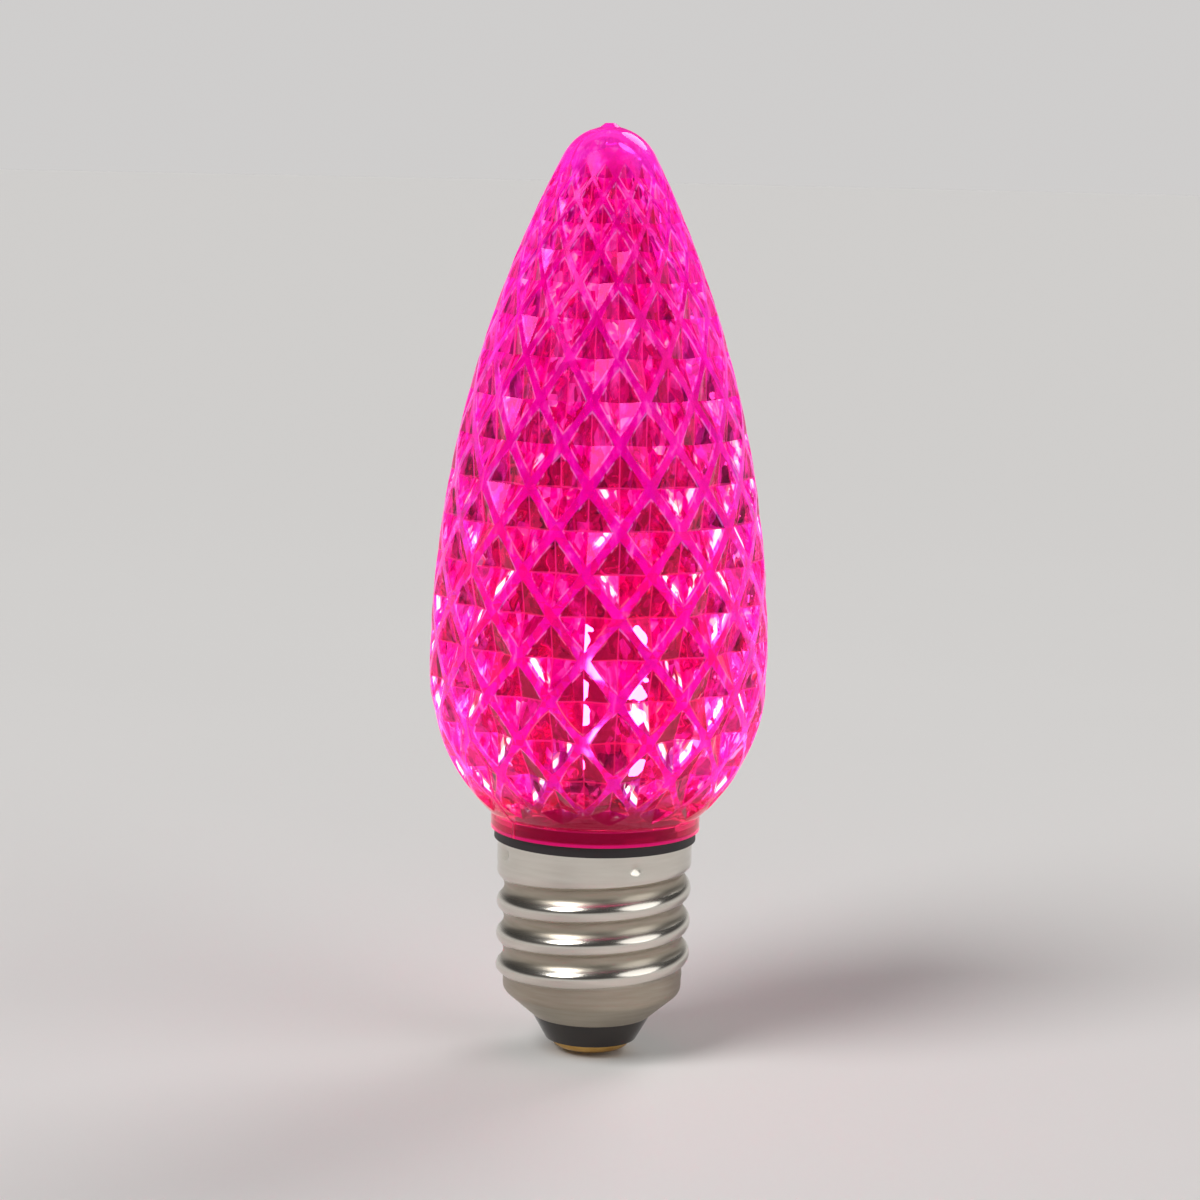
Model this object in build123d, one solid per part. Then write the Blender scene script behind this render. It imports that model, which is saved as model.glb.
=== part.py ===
from build123d import *
from math import acos, asin, atan2, cos, degrees, hypot, pi, sin, sqrt
import os

# A lit string-light bulb with a faceted lens and a screw base.
# Millimetres, +Z up the bulb's axis, front towards -Y.
# The origin is the centre of the collar's underside, where the lens meets its holder.

# Lens
LENS_R = 14.3            # widest radius: nine eighths of an inch across
WIDEST_Z = 13.5          # height of the widest place
LENS_H = 59.2            # collar's underside to the top of the tip
TIP_R = 4.3              # radius of the round tip
COLLAR_R = 8.9
COLLAR_H = 1.3
COLLAR_RECESS = 0.3      # depth that the plug's flange is let into the collar
LENS_WALL = 1.8
GATE_R = 0.85            # foot of the gate mark that moulding left on the tip
GATE_TOP_R = 0.4
GATE_H = 0.25

# Facets: rows of sunk four-sided pyramids, each row half a step round from the next
FACETS_ROUND = 16
FIRST_ROW_Z = 6.2        # lowest row with whole facets
SMOOTH_TIP_H = 2.6       # smooth tip above the facets
ROW_PITCH = 3.45         # height between rows on the body
ROW_RATIO = 0.305        # height between rows over local radius, near the tip
DEPTH_RATIO = 0.3        # depth of a facet over half its width
BAND_W = 0.8             # width of the smooth bands between facets
BAND_RATIO = 0.3         # the same over half the facet's width, near the tip

# Screw base
SHELL_R = 8.3            # intermediate screw base, outside the thread
SHELL_WALL = 0.3
THREAD_DEPTH = 0.65      # room that the rolled thread takes up
SHELL_TUBE_H = 11.4      # threaded length
SHELL_NECK_H = 0.8       # from the thread's outside down to its root
SHELL_SEAT_H = 1.0       # plain length below the thread
SHELL_CONE_H = 2.2       # foot turned in round the insulator
SHELL_LIP_R = 5.1
NOSE_H = 2.1             # insulator below the shell
NOSE_R = 3.9
CONTACT_R = 3.4
CONTACT_H = 0.8          # contact below the insulator
CONTACT_SEAT = 0.3       # depth that the contact is let into the insulator
SOLDER_R = 1.3
SOLDER_H = 0.4

# Plug that closes the lens and carries the board
FLANGE_STEP = 0.3        # flange outside the shell
FLANGE_H = 0.9           # flange below the collar
LAND_H = 2.0             # length that fits the shell's mouth
PLUG_GAP = 0.3           # clearance between plug and thread
PLUG_WALL = 1.1
PLUG_TOP_Z = 3.9
PLUG_TOP_R = 5.3

# Circuit board, upright on the axis
BOARD_T = 1.0
BOARD_W = 9.0            # above the plug
BOARD_TOP_Z = 17.6
BOARD_FOOT_Z = -10.0
BOARD_GAP = 0.6          # clearance at each side, inside the plug
BOARD_TURN = 20          # degrees that the board's face is turned from the front

# Lamps on the board
LED_W = 2.8
LED_H = 3.5
LED_T = 1.9
LED_WINDOW_R = 1.2
LED_CUP_R = 0.9          # floor of the cup below the window
LED_CUP_DEPTH = 0.9
LED_CORNER = 0.6         # corner cut off to mark the polarity
LED_LOWER_Z = 8.0
LED_UPPER_Z = 14.2

# Supply parts
RECTIFIER_W = 4.7
RECTIFIER_H = 3.8
RECTIFIER_T = 2.4
RECTIFIER_Z = -0.6
LEG_W = 0.7
LEG_REACH = 1.0
LEG_T = 0.3
CAPACITOR_R = 2.0
CAPACITOR_H = 6.4
CAPACITOR_TOP_Z = 1.6
CAPACITOR_PITCH = 1.5
CAPACITOR_HOLE_Z = -6.9
RESISTOR_R = 1.0
RESISTOR_L = 6.0
RESISTOR_Z = -4.6
RESISTOR_MARGIN = 1.05   # lead's distance from the board's edge
LEAD_R = 0.25
LEAD_END = 0.5           # length of a lead beyond the board
WIRE_R = 0.3
WIRE_HOLE_Z = -8.8
WIRE_SWING = 2.0         # how far the centre wire swings out behind the board
INSULATOR_BORE_R = 0.9

# Heights down the base
z_flange = -FLANGE_H
z_tube = z_flange - SHELL_TUBE_H
z_seat = z_tube - SHELL_NECK_H
z_cone = z_seat - SHELL_SEAT_H
z_lip = z_cone - SHELL_CONE_H
z_nose = z_lip - NOSE_H
z_contact = z_nose - CONTACT_H

# Radii that two pieces share
root_r = SHELL_R - THREAD_DEPTH
neck_r = COLLAR_R - LENS_WALL
land_r = SHELL_R - SHELL_WALL
flange_r = SHELL_R + FLANGE_STEP
plug_r = root_r - SHELL_WALL - PLUG_GAP
bore_r = plug_r - PLUG_WALL
board_foot_w = 2 * (bore_r - BOARD_GAP)
resistor_pitch = board_foot_w - 2 * RESISTOR_MARGIN
board_shoulder_z = PLUG_TOP_Z - PLUG_WALL
shell_wire_z = z_flange - LAND_H / 2
shell_wire_y = BOARD_T / 2 + WIRE_R

# The lens outline is three arcs that run into each other: bowl, flank and tip
tip_z = LENS_H - TIP_R
flank = (LENS_R**2 + (tip_z - WIDEST_Z)**2 - TIP_R**2) / (2 * (LENS_R - TIP_R))
flank_x = LENS_R - flank
tip_turn = atan2(tip_z - WIDEST_Z, -flank_x)
bowl_rise = WIDEST_Z - COLLAR_H
bowl_run = LENS_R - COLLAR_R
bowl = (bowl_rise**2 + bowl_run**2) / (2 * bowl_run)
bowl_x = LENS_R - bowl


def revolved(outline):
    """A solid turned from an outline of radius against height."""
    return revolve(Plane.XZ * make_face(outline), Axis.Z)


def lens_outline(inset, bowl_end, tip_end):
    """The three arcs, set in from the outside, from the bowl's foot to the tip."""
    turn = degrees(tip_turn)
    foot = CenterArc((bowl_x, WIDEST_Z), bowl - inset, -degrees(bowl_end), degrees(bowl_end))
    side = CenterArc((flank_x, WIDEST_Z), flank - inset, 0, turn)
    tip = CenterArc((0, tip_z), TIP_R - inset, turn, degrees(tip_end) - turn)
    return foot + side + tip


def lens_radius(z):
    """Outside radius of the lens at a height."""
    if z < WIDEST_Z:
        return bowl_x + sqrt(bowl**2 - (z - WIDEST_Z)**2)
    if z < tip_z + TIP_R * sin(tip_turn):
        return flank_x + sqrt(flank**2 - (z - WIDEST_Z)**2)
    return sqrt(TIP_R**2 - (z - tip_z)**2)


def lens_point(angle, z, out=0.0):
    """A point on the outside of the lens, or moved off it along its normal."""
    step = 0.001
    slope = (lens_radius(z + step) - lens_radius(z - step)) / (2 * step)
    tilt = hypot(1, slope)
    r = lens_radius(z) + out / tilt
    return Vector(r * cos(angle), r * sin(angle), z - out * slope / tilt)


def facet_rows():
    """Heights of the corners of the facets, from the collar to the smooth tip."""
    below = FIRST_ROW_Z - 0.9 * ROW_PITCH
    rows = [(COLLAR_H + below) / 2 - 0.4, below, FIRST_ROW_Z]
    while True:
        row = rows[-1] + min(ROW_PITCH, ROW_RATIO * lens_radius(rows[-1]))
        if row > LENS_H - SMOOTH_TIP_H:
            return rows
        rows.append(row)


def facet_cutter(low, mid, high, angle):
    """A pyramid that sinks one diamond into the lens, closed by a second one outside."""
    half_turn = pi / FACETS_ROUND
    half_w = lens_radius(mid) * half_turn
    half_h = (high - low) / 2
    side = half_w * half_h / hypot(half_w, half_h)
    shrink = 1 - min(BAND_W, BAND_RATIO * half_w) / (2 * side)
    depth = DEPTH_RATIO * half_w
    apex = lens_point(angle, mid, -depth)
    crown = lens_point(angle, mid, depth)
    corners = [
        lens_point(angle + shrink * half_turn, mid),
        lens_point(angle, mid + shrink * (high - mid)),
        lens_point(angle - shrink * half_turn, mid),
        lens_point(angle, mid - shrink * (mid - low)),
    ]
    # each corner is carried on outwards, nearly to the middle of the band
    rim = [apex + (corner - apex) * (0.985 / shrink) for corner in corners]
    faces = []
    for here, there in zip(rim, rim[1:] + rim[:1]):
        faces.append(Face(Wire.make_polygon([apex, here, there])))
        faces.append(Face(Wire.make_polygon([crown, here, there])))
    return Solid(Shell(faces))


def lens():
    """The faceted lens: a turned wall with a ring of pyramids sunk into every row."""
    bowl_foot = asin(bowl_rise / bowl)
    gate_turn = acos(GATE_R / TIP_R)
    neck_turn = acos((neck_r - bowl_x) / (bowl - LENS_WALL))
    neck_z = WIDEST_Z - (bowl - LENS_WALL) * sin(neck_turn)
    gate_z = tip_z + TIP_R * sin(gate_turn)
    gate_top = LENS_H + GATE_H
    gate = Polyline((GATE_R, gate_z), (GATE_TOP_R, gate_top), (0, gate_top), (0, LENS_H - LENS_WALL))
    collar = Polyline(
        (neck_r, neck_z), (neck_r, COLLAR_RECESS), (flange_r, COLLAR_RECESS), (flange_r, 0),
        (COLLAR_R, 0), (COLLAR_R, COLLAR_H))
    outside = lens_outline(0, bowl_foot, gate_turn)
    inside = lens_outline(LENS_WALL, neck_turn, pi / 2)
    wall = revolved(outside + gate + inside + collar)
    step = 2 * pi / FACETS_ROUND
    rows = facet_rows()
    cutters = []
    for number, (low, mid, high) in enumerate(zip(rows, rows[1:], rows[2:])):
        cutter = facet_cutter(low, mid, high, step / 2 if number % 2 == 0 else 0)
        cutters += [Rot(0, 0, degrees(step * turn)) * cutter for turn in range(FACETS_ROUND)]
    return wall - cutters


def base_plug():
    """The plug: a spigot in the lens neck, a flange, and a sleeve inside the shell."""
    neck_turn = acos((neck_r - bowl_x) / (bowl - LENS_WALL))
    spigot_z = WIDEST_Z - (bowl - LENS_WALL) * sin(neck_turn)
    sleeve = revolved(Polyline(
        (0, PLUG_TOP_Z), (PLUG_TOP_R, PLUG_TOP_Z), (neck_r, spigot_z), (neck_r, COLLAR_RECESS),
        (flange_r, COLLAR_RECESS), (flange_r, z_flange), (land_r, z_flange), (land_r, z_flange - LAND_H),
        (plug_r, z_flange - LAND_H), (plug_r, z_seat), (bore_r, z_seat), (bore_r, board_shoulder_z),
        (0, board_shoulder_z), close=True))
    slot = Pos(0, 0, PLUG_TOP_Z) * Box(BOARD_W, BOARD_T, 4 * PLUG_WALL)
    wire_hole = shell_wire_line(2 * SHELL_R)
    return sleeve - Rot(0, 0, BOARD_TURN) * (slot + wire_hole)


def screw_shell():
    """The thin shell of the screw base, turned in round the insulator at its foot."""
    outside = Polyline(
        (SHELL_R, z_flange), (SHELL_R, z_tube), (root_r, z_seat), (root_r, z_cone), (SHELL_LIP_R, z_lip))
    inside = shell_inside()
    ends = Line(outside @ 1, inside @ 1) + Line(inside @ 0, outside @ 0)
    return revolved(outside + inside + ends)


def shell_inside():
    """The inner line of the shell, one wall in from the outside, from mouth to lip."""
    taper = SHELL_WALL * (hypot(SHELL_NECK_H, THREAD_DEPTH) - SHELL_NECK_H) / THREAD_DEPTH
    return Polyline(
        (land_r, z_flange), (land_r, z_tube + taper), (root_r - SHELL_WALL, z_seat + taper),
        (root_r - SHELL_WALL, z_cone + cone_fold()), (SHELL_LIP_R, z_lip + cone_rise()))


def cone_rise():
    """Upright thickness of the shell where its foot is turned in."""
    run = root_r - SHELL_LIP_R
    return SHELL_WALL * hypot(run, SHELL_CONE_H) / run


def cone_fold():
    """Height of the inside of that fold above the outside of it."""
    return cone_rise() - SHELL_WALL * SHELL_CONE_H / (root_r - SHELL_LIP_R)


def contact_insulator():
    """The insulator: it fills the shell's foot and carries the contact on its nose."""
    seat_r = root_r - SHELL_WALL
    recess_z = z_nose + CONTACT_SEAT
    return revolved(Polyline(
        (INSULATOR_BORE_R, z_seat), (seat_r, z_seat), (seat_r, z_cone + cone_fold()),
        (SHELL_LIP_R, z_lip + cone_rise()), (SHELL_LIP_R, z_lip), (NOSE_R, z_nose),
        (CONTACT_R, z_nose), (CONTACT_R, recess_z), (INSULATOR_BORE_R, recess_z), close=True))


def centre_contact():
    """The contact button, rounded at its edge and drilled for the wire."""
    top = z_nose + CONTACT_SEAT
    flat_r = CONTACT_R - CONTACT_H
    sides = Polyline((flat_r, z_contact), (WIRE_R, z_contact), (WIRE_R, top), (CONTACT_R, top), (CONTACT_R, z_nose))
    edge = CenterArc((flat_r, z_nose), CONTACT_H, -90, 90)
    return revolved(sides + edge)


def contact_solder():
    """The dab of solder over the wire's end."""
    dome = (SOLDER_R**2 + SOLDER_H**2) / (2 * SOLDER_H)
    spread = degrees(asin(SOLDER_R / dome))
    cap = CenterArc((0, z_contact - SOLDER_H + dome), dome, -90, spread)
    return revolved(cap + Polyline(cap @ 1, (0, z_contact), (0, z_contact - SOLDER_H)))


def circuit_board():
    """The upright board, wider below the plug's top and drilled for the leads."""
    blade_h = BOARD_TOP_Z - board_shoulder_z
    foot_h = board_shoulder_z - BOARD_FOOT_Z
    blade = Pos(0, 0, board_shoulder_z + blade_h / 2) * Box(BOARD_W, BOARD_T, blade_h)
    foot = Pos(0, 0, board_shoulder_z - foot_h / 2) * Box(board_foot_w, BOARD_T, foot_h)
    holes = [(x, RESISTOR_Z, LEAD_R) for x in (-resistor_pitch / 2, resistor_pitch / 2)]
    holes += [(x, CAPACITOR_HOLE_Z, LEAD_R) for x in (-CAPACITOR_PITCH / 2, CAPACITOR_PITCH / 2)]
    holes += [(0, WIRE_HOLE_Z, WIRE_R)]
    drills = [Pos(x, 0, z) * Rot(90, 0, 0) * Cylinder(r, 3 * BOARD_T) for x, z, r in holes]
    return blade + foot - drills


def led_housing(side, z):
    """A lamp housing on one face of the board, with its cup and its marked corner."""
    body = Box(LED_W, LED_H, LED_T, align=(Align.CENTER, Align.CENTER, Align.MIN))
    marked = body.edges().filter_by(Axis.Z).sort_by(Axis.X)[-1]
    cup = Pos(0, 0, LED_T) * led_cup()
    return on_board(chamfer(marked, LED_CORNER) - cup, side, z)


def led_gel(side, z):
    """The filling of a lamp's cup, level with its rim."""
    return on_board(Pos(0, 0, LED_T) * led_cup(), side, z)


def led_cup():
    """The cup below a lamp's window, its rim at height nought."""
    return Cone(LED_CUP_R, LED_WINDOW_R, LED_CUP_DEPTH, align=(Align.CENTER, Align.CENTER, Align.MAX))


def on_board(piece, side, z):
    """Stands a piece on the board: side is -1 for the front face and 1 for the back."""
    face = Plane((0, side * BOARD_T / 2, z), x_dir=(-side, 0, 0), z_dir=(0, side, 0))
    return face * piece


def bridge_rectifier():
    """The rectifier on the board's front, with two bent legs at each side."""
    floor = LEG_T / 2
    body = Pos(0, 0, floor) * Box(
        RECTIFIER_W, RECTIFIER_H, RECTIFIER_T, align=(Align.CENTER, Align.CENTER, Align.MIN))
    body = chamfer(body.faces().sort_by(Axis.Z)[-1].edges(), RECTIFIER_T / 8)
    reach = RECTIFIER_W / 2 + LEG_REACH
    rise = RECTIFIER_T / 2
    bend = RECTIFIER_W / 2 + LEG_REACH / 3
    leg = Plane.XZ * make_face(Polyline(
        (reach, 0), (reach, LEG_T), (bend + LEG_T, LEG_T), (bend + LEG_T, rise), (RECTIFIER_W / 2, rise),
        (RECTIFIER_W / 2, rise - LEG_T), (bend, rise - LEG_T), (bend, 0), close=True))
    leg = extrude(leg, LEG_W / 2, both=True)
    row = [Pos(0, y, 0) * leg for y in (-RECTIFIER_H / 3, RECTIFIER_H / 3)]
    legs = row + [Rot(0, 0, 180) * one for one in row]
    return on_board(body + legs, -1, RECTIFIER_Z)


def smoothing_capacitor():
    """The capacitor, lying against the board's back with its leads bent into it."""
    y = BOARD_T / 2 + CAPACITOR_R
    foot_z = CAPACITOR_TOP_Z - CAPACITOR_H
    can = Pos(0, y, foot_z) * Cylinder(
        CAPACITOR_R, CAPACITOR_H, align=(Align.CENTER, Align.CENTER, Align.MIN))
    can = fillet(can.edges().filter_by(GeomType.CIRCLE), CAPACITOR_R / 6)
    leads = []
    for x in (-CAPACITOR_PITCH / 2, CAPACITOR_PITCH / 2):
        route = FilletPolyline(
            (x, y, foot_z + LEAD_R), (x, y, CAPACITOR_HOLE_Z), (x, -BOARD_T / 2 - LEAD_END, CAPACITOR_HOLE_Z),
            radius=3 * LEAD_R)
        leads.append(rod(route, LEAD_R))
    return can + leads


def dropper_resistor():
    """The resistor across the board's front, waisted between its two end caps."""
    y = -BOARD_T / 2 - RESISTOR_R
    half = RESISTOR_L / 2
    waist = 0.85 * RESISTOR_R
    cap = half / 3
    body = revolve(make_face(Polyline(
        (-half, 0), (-half, RESISTOR_R), (-half + cap, RESISTOR_R), (-half + 1.3 * cap, waist),
        (half - 1.3 * cap, waist), (half - cap, RESISTOR_R), (half, RESISTOR_R), (half, 0), close=True)), Axis.X)
    leads = []
    for x in (-1, 1):
        out = x * resistor_pitch / 2
        route = FilletPolyline(
            (x * (half - LEAD_R), y, RESISTOR_Z), (out, y, RESISTOR_Z), (out, BOARD_T / 2 + LEAD_END, RESISTOR_Z),
            radius=2 * LEAD_R)
        leads.append(rod(route, LEAD_R))
    return Pos(0, y, RESISTOR_Z) * body + leads


def rod(route, r):
    """A round rod along a route."""
    start = Plane(route @ 0, z_dir=route % 0)
    return sweep(start * Circle(r), path=route)


def centre_wire():
    """The wire from the board to the contact: out behind the board, then back to the axis."""
    axis_z = z_seat + WIRE_R
    route = FilletPolyline(
        (0, -BOARD_T / 2 - LEAD_END, WIRE_HOLE_Z), (0, WIRE_SWING, WIRE_HOLE_Z),
        (0, WIRE_SWING, axis_z + WIRE_SWING), (0, 0, axis_z), (0, 0, z_contact), radius=WIRE_SWING / 2.5)
    return rod(route, WIRE_R)


def shell_wire_line(length):
    """A straight wire along the board's back, outwards to one side."""
    start = BOARD_W / 3
    return Pos(start + length / 2, shell_wire_y, shell_wire_z) * Rot(0, 90, 0) * Cylinder(WIRE_R, length)


def shell_wire():
    """The wire from the board through the plug's wall to the inside of the shell."""
    inside_shell = Pos(0, 0, shell_wire_z) * Cylinder(land_r, 4 * WIRE_R)
    return shell_wire_line(2 * SHELL_R) & inside_shell


# The board and all that stands on it, turned together about the axis
turned = {
    "circuit_board": circuit_board(),
    "bridge_rectifier": bridge_rectifier(),
    "smoothing_capacitor": smoothing_capacitor(),
    "dropper_resistor": dropper_resistor(),
    "centre_wire": centre_wire(),
    "shell_wire": shell_wire(),
}
for face, side in (("front", -1), ("back", 1)):
    for level, z in (("upper", LED_UPPER_Z), ("lower", LED_LOWER_Z)):
        turned[f"{face}_{level}_led"] = led_housing(side, z)
        turned[f"{face}_{level}_led_gel"] = led_gel(side, z)

pieces = {
    "lens": lens(),
    "base_plug": base_plug(),
    "screw_shell": screw_shell(),
    "contact_insulator": contact_insulator(),
    "centre_contact": centre_contact(),
    "contact_solder": contact_solder(),
}
for name, piece in turned.items():
    pieces[name] = Rot(0, 0, BOARD_TURN) * piece

os.makedirs("parts", exist_ok=True)
for name, piece in pieces.items():
    export_step(piece, f"parts/{name}.step")
    print(name, round(piece.volume, 2))
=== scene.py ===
# %% [markdown]
# A lit string-light bulb with a faceted lens.
# The imported CAD model is the fixed frame: each of its nodes already sits in its place, in metres.
# This lesson gives every node the finish of its real material, and paints the glow of the lit lens into its
# finish. Three forms are finer than the CAD solids and are modelled here: the line that the mould left on the
# lens, the rolled thread of the screw shell with the marks of its punch, and the hair of air round the plug.

# %% Load the frame
import math

import bmesh
import bpy
from mathutils import Matrix, Vector


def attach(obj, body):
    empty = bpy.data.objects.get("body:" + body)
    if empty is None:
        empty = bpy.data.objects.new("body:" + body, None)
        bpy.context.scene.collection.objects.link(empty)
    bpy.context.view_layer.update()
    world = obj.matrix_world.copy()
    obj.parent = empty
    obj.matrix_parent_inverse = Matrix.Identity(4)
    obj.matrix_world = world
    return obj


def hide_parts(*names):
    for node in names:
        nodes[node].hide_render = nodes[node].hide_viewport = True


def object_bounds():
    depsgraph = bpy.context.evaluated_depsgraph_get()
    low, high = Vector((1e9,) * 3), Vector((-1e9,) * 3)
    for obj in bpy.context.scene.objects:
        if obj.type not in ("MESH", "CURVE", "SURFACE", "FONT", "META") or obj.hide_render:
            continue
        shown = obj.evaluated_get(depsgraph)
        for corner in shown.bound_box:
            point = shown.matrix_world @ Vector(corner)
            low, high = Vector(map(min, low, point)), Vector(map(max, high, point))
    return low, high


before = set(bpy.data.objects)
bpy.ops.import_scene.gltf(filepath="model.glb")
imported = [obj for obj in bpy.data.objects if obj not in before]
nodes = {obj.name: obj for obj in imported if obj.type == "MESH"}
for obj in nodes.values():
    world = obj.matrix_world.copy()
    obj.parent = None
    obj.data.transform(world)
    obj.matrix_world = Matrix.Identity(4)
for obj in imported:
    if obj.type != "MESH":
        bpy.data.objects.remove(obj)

MM = 0.001
cad_box = [[float(v) for v in corner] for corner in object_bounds()]
print("CAD nodes:", len(nodes), "and their box in mm:", [[round(v / MM, 2) for v in c] for c in cad_box])

# %% [markdown]
# Colours are written as sRGB hex values, the way a paint chart or a photograph gives them.
# Shaders work with linear light, so one function turns the one into the other.
# Two more functions set a node's inputs and add a node. With these three, each material below reads from top
# to bottom like a recipe.

# %% Colours and nodes
def linear(hex_colour):
    """An sRGB hex colour as the linear numbers that a shader takes."""
    parts = [int(hex_colour[k:k + 2], 16) / 255 for k in (1, 3, 5)]
    return [p / 12.92 if p <= 0.04045 else ((p + 0.055) / 1.055) ** 2.4 for p in parts] + [1.0]


def feed(node, inputs):
    """Sets a node's inputs. Each is a number, a hex colour, or a socket or a node to link from."""
    for name, value in inputs.items():
        if isinstance(value, bpy.types.Node):
            value = value.outputs[0]
        if isinstance(value, bpy.types.NodeSocket):
            node.id_data.links.new(value, node.inputs[name])
        else:
            node.inputs[name].default_value = linear(value) if isinstance(value, str) else value


def add(tree, kind, settings=None, inputs=None, stops=()):
    """A new node with its settings and inputs and, where it has a colour ramp, the ramp's stops."""
    made = tree.nodes.new("ShaderNode" + kind)
    for name, value in (settings or {}).items():
        setattr(made, name, value)
    feed(made, inputs or {})
    for k, (spot, colour) in enumerate(stops):
        points = made.color_ramp.elements
        point = points[k] if k < len(points) else points.new(spot)
        point.position = spot
        point.color = linear(colour)
    return made


print("middle grey in linear light:", round(linear("#808080")[0], 3))

# %% [markdown]
# Every finish is a Principled shader with a few patterns in front of it. The patterns read Object
# coordinates, so they stay with the piece and are measured in metres. A few settings come up so often that
# they get short names: a smooth step, a range that falls from 1 to 0, and what a Math node works out.

# %% Starting a finish
SMOOTH = {"interpolation_type": "SMOOTHSTEP"}
FALLING = {"To Min": 1.0, "To Max": 0.0}
TIMES = {"operation": "MULTIPLY"}
TIMES_PLUS = {"operation": "MULTIPLY_ADD"}
MINUS = {"operation": "SUBTRACT"}
LENGTH = {"operation": "LENGTH"}


def new_finish(name):
    """A material with a Principled shader joined to its output, and the place of a point to start from."""
    finish = bpy.data.materials.new(name)
    finish.use_nodes = True
    tree = finish.node_tree
    tree.nodes.clear()
    shader = add(tree, "BsdfPrincipled")
    add(tree, "OutputMaterial", {}, {"Surface": shader})
    return finish, tree, shader, add(tree, "TexCoord").outputs["Object"]


def dress(finish, *names):
    """Gives CAD nodes a finish."""
    for name in names:
        nodes[name].material_slots[0].material = finish
    print(finish.name, "on", ", ".join(names))


print("CAD nodes to dress:", ", ".join(sorted(nodes)))

# %% [markdown]
# The floor is a wide sheet of pale paper under the tip of the contact, where the bulb would stand.
# A disc is enough, since nothing of it is seen edge on.

# %% Floor
FLOOR_R, FLOOR_SIDES = 4.0, 96
floor_z = cad_box[0][2]
bm = bmesh.new()
bmesh.ops.create_circle(bm, cap_ends=True, segments=FLOOR_SIDES, radius=FLOOR_R)
bmesh.ops.translate(bm, vec=(0, 0, floor_z), verts=bm.verts)
floor_mesh = bpy.data.meshes.new("floor")
bm.to_mesh(floor_mesh)
bm.free()
floor = bpy.data.objects.new("floor", floor_mesh)
bpy.context.scene.collection.objects.link(floor)
print("floor at", round(floor_z / MM, 2), "mm")

# %% [markdown]
# Paper isn't one flat grey. Faint clouds, about a hand's width across, keep it from looking computed. They
# fade out away from the bulb, where a low camera would see them squeezed into stripes. Paper has no gloss
# worth tracing, so its specular level is nil.

# %% Paper of the floor
CLOUD_SIZE, CLOUDS_FADE, CLOUDS_END = 0.12, 0.1, 0.5
paper, tree, shader, place = new_finish("pale_matt_paper")
cloud = add(tree, "TexNoise", {}, {"Vector": place, "Scale": 1 / CLOUD_SIZE, "Detail": 3})
away = add(tree, "VectorMath", LENGTH, {0: place}).outputs["Value"]
close_by = add(tree, "MapRange", SMOOTH,
               {"Value": away, "From Min": CLOUDS_FADE, "From Max": CLOUDS_END, **FALLING})
share = add(tree, "Math", TIMES, {0: cloud, 1: close_by})
tone = add(tree, "MixRGB", {}, {"Fac": share, "Color1": "#E6E4E2", "Color2": "#EBE9E7"})
feed(shader, {"Base Color": tone, "Roughness": 0.9, "Specular IOR Level": 0.0})
floor_mesh.materials.append(paper)
print(paper.name, "on", floor.name)

# %% [markdown]
# Clear plastic shows nothing but what stands around it, so the room has to have light and shade in it.
# The world is a plain grey gradient: as pale as the floor at the horizon, and darker overhead. It is so even
# that rays find it well enough by themselves, so the renderer needn't aim any at it, which saves time.

# %% World
HORIZON_LIGHT, OVERHEAD_LIGHT = 0.625, 0.06
DARKENS_FROM, DARKENS_TO = 0.03, 0.30
world = bpy.data.worlds.new("studio")
bpy.context.scene.world = world
world.use_nodes = True
world.cycles.sampling_method = "NONE"
tree = world.node_tree
tree.nodes.clear()
way = add(tree, "SeparateXYZ", {}, {0: add(tree, "TexCoord").outputs["Generated"]})
light = add(tree, "MapRange", SMOOTH,
            {"Value": way.outputs["Z"], "From Min": DARKENS_FROM, "From Max": DARKENS_TO,
             "To Min": HORIZON_LIGHT, "To Max": OVERHEAD_LIGHT})
sky = add(tree, "Background", {}, {"Color": "#FFFDFC", "Strength": light})
add(tree, "OutputWorld", {}, {"Surface": sky})
print("world:", HORIZON_LIGHT, "at the horizon and", OVERHEAD_LIGHT, "overhead")

# %% [markdown]
# Three broad lamps stand far away, so that they light the whole floor evenly: a key from the left front,
# a weaker fill from the right, and one behind and above that draws a line of light down the flank.
# Together they light a grey card about as brightly as it is written.

# %% Lamps
def soft_lamp(name, place, strength, breadth):
    """A far lamp that shines from a place towards the bulb, as wide as an angle in degrees."""
    lamp = bpy.data.lights.new(name, "SUN")
    lamp.energy = strength
    lamp.angle = math.radians(breadth)
    stand = bpy.data.objects.new(name, lamp)
    bpy.context.scene.collection.objects.link(stand)
    aim = (-Vector(place)).to_track_quat("-Z", "Y")
    stand.matrix_world = Matrix.Translation(place) @ aim.to_matrix().to_4x4()


soft_lamp("key_lamp", place=(-0.5, -0.55, 0.75), strength=1.9, breadth=30)
soft_lamp("fill_lamp", place=(0.75, -0.35, 0.45), strength=0.8, breadth=50)
soft_lamp("back_lamp", place=(0.35, 0.6, 0.6), strength=0.8, breadth=30)

# %% [markdown]
# The photograph was taken level with the tip of the bulb, from about 28 cm away, with the bulb leaning a
# little to the right. The camera stands at that place and looks down enough to take in the base as well.
# Blender takes the width of the sensor and the focal length in millimetres.

# %% Camera
EYE_TURN = math.radians(4.8)
EYE_DISTANCE = 279 * MM
EYE_HEIGHT = 59.8 * MM
LOOK_Z = 19.5 * MM
LEAN = math.radians(1.26)
SENSOR_W, FOCAL_LENGTH = 36, 100

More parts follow.
